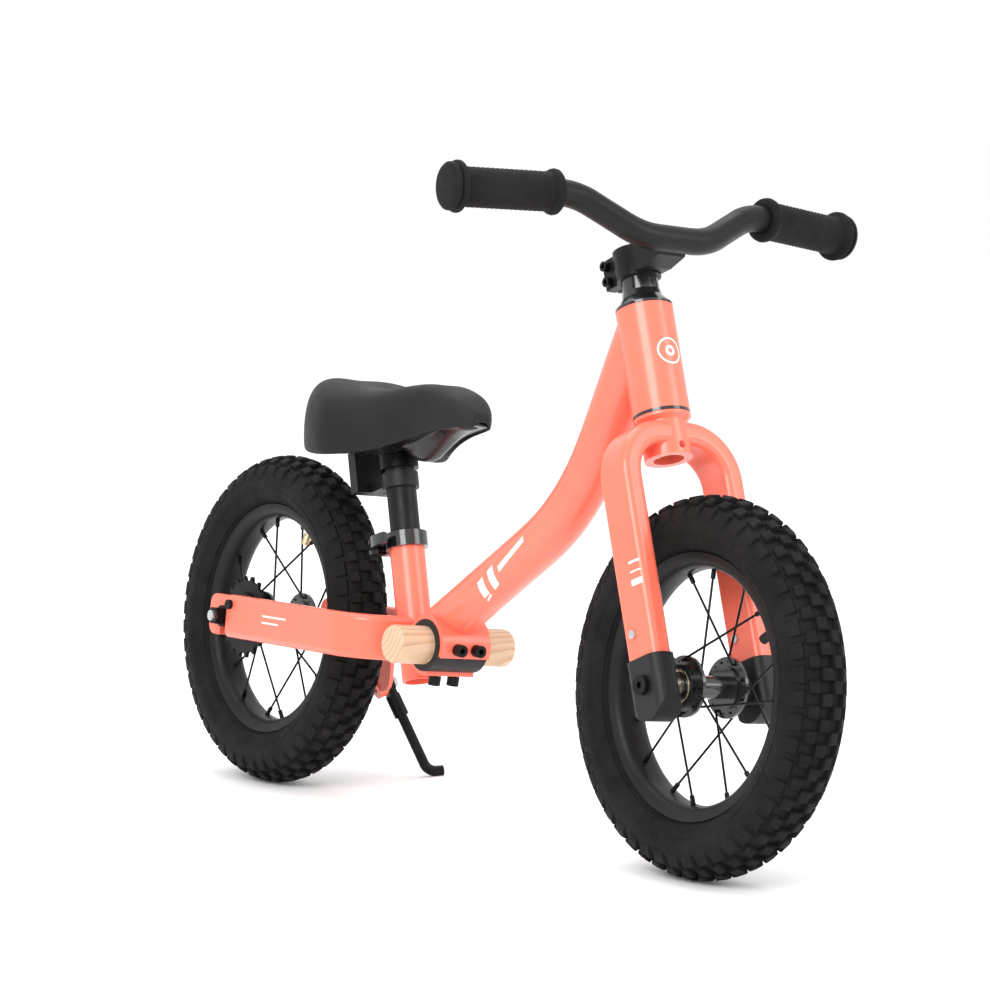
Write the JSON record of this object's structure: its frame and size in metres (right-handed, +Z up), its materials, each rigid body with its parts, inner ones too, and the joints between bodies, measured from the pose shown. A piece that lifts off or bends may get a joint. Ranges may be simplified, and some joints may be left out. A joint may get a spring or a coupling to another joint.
{
  "type": "balance bike",
  "caption": "Child's pedal-less balance bike with curved main tube, spoked wheels, low saddle, wooden foot rest and folding kickstand, parked leaning on the stand.",
  "frame": {"origin": "on the ground, under the middle of the bike's outline", "axes": "+X towards the front wheel, +Y to the rider's left, +Z up; the bike leans to its left onto its kickstand"},
  "size_m": [0.946, 0.4207, 0.5848],
  "materials": {
    "frame_paint": "satin coral powder coat",
    "tyre_rubber": "matte black",
    "grip_rubber": "matte black",
    "wood": "clear-lacquered pine",
    "black_alloy": "satin black anodised alloy",
    "black_steel": "black oxide steel",
    "bright_steel": "zinc plated",
    "brass": "polished",
    "black_plastic": "moulded satin plastic",
    "saddle_vinyl": "matte fine-grained vinyl over foam",
    "red_lens": "clear red moulding"
  },
  "bodies": {
    "frame": {"head_tube": "frame_paint", "main_tube": "frame_paint", "seat_tube": "frame_paint", "chainstay_right": "frame_paint", "chainstay_left": "frame_paint", "dropout_right": "frame_paint", "dropout_left": "frame_paint", "footrest_shell": "frame_paint", "footrest_sleeve": "grip_rubber", "footrest_dowel": "wood", "footrest_bolts": "black_steel", "kickstand_plate": "frame_paint", "kickstand_pivot": "black_steel", "headset_bearings": "bright_steel", "headset_lower_ring": "black_alloy", "seat_clamp_collar": "black_alloy", "seat_clamp_skewer": "bright_steel", "rear_axle": "bright_steel", "rear_axle_nuts": "black_steel", "dropout_bolts": "black_steel"},
    "clamp_lever": {"seat_clamp_lever": "black_alloy"},
    "kickstand": {"kickstand_sleeve": "black_steel", "kickstand_rod": "black_steel"},
    "steering": {"fork_crown": "frame_paint", "steerer_tube": "bright_steel", "fork_leg_right": "frame_paint", "fork_leg_left": "frame_paint", "fork_cover_right": "black_plastic", "fork_cover_left": "black_plastic", "fork_cover_screws": "bright_steel", "front_axle": "bright_steel", "front_axle_bolts": "black_steel", "headset_top_cover": "black_alloy", "headset_spacer": "black_alloy", "stem": "black_alloy", "stem_bolts": "black_steel", "handlebar": "black_alloy", "grip_right": "grip_rubber", "grip_left": "grip_rubber"},
    "front_wheel": {"front_tyre": "tyre_rubber", "front_rim": "black_alloy", "front_spokes": "black_steel", "front_nipples": "black_steel", "front_hub": "black_alloy", "front_bearings": "brass", "front_valve": "black_plastic"},
    "rear_wheel": {"rear_tyre": "tyre_rubber", "rear_rim": "black_alloy", "rear_spokes": "black_steel", "rear_nipples": "black_steel", "rear_hub": "black_alloy", "rear_bearings": "brass", "rear_valve": "brass"},
    "freewheel": {"rear_sprocket": "black_steel"},
    "seat": {"seatpost": "black_steel", "saddle_clamp": "black_plastic", "saddle_base": "black_plastic", "saddle_cover": "saddle_vinyl", "reflector_housing": "black_plastic", "reflector_lens": "red_lens"}
  },
  "joints": [
    {"name": "steering", "type": "hinge", "parent": "frame", "child": "steering", "pos_m": [0.21521, -0.01963, 0.40846], "axis": [-0.3697, 0.147, 0.9174], "range_deg": [-90, 90]},
    {"name": "front_wheel_spin", "type": "hinge", "parent": "steering", "child": "front_wheel", "pos_m": [0.318, -0.06048, 0.15341], "axis": [0, 0.9874, -0.1582], "continuous": true},
    {"name": "rear_wheel_spin", "type": "hinge", "parent": "frame", "child": "rear_wheel", "pos_m": [-0.318, -0.06048, 0.15341], "axis": [0, 0.9874, -0.1582], "continuous": true},
    {"name": "freewheel_spin", "type": "hinge", "parent": "rear_wheel", "child": "freewheel", "pos_m": [-0.318, -0.09702, 0.15927], "axis": [0, 0.9874, -0.1582], "continuous": true},
    {"name": "kickstand_fold", "type": "hinge", "parent": "frame", "child": "kickstand", "pos_m": [-0.24, 0.00322, 0.08954], "axis": [0.1193, 0.9403, 0.3187], "range_deg": [0, 102]},
    {"name": "seat_height", "type": "slide", "parent": "frame", "child": "seat", "axis": [-0.304, 0.1507, 0.9407], "range_m": [-0.015, 0.045]},
    {"name": "clamp_lever_swing", "type": "hinge", "parent": "frame", "child": "clamp_lever", "pos_m": [-0.14694, -0.06334, 0.23356], "axis": [0.304, -0.1507, -0.9407], "range_deg": [0, 150]}
  ]
}
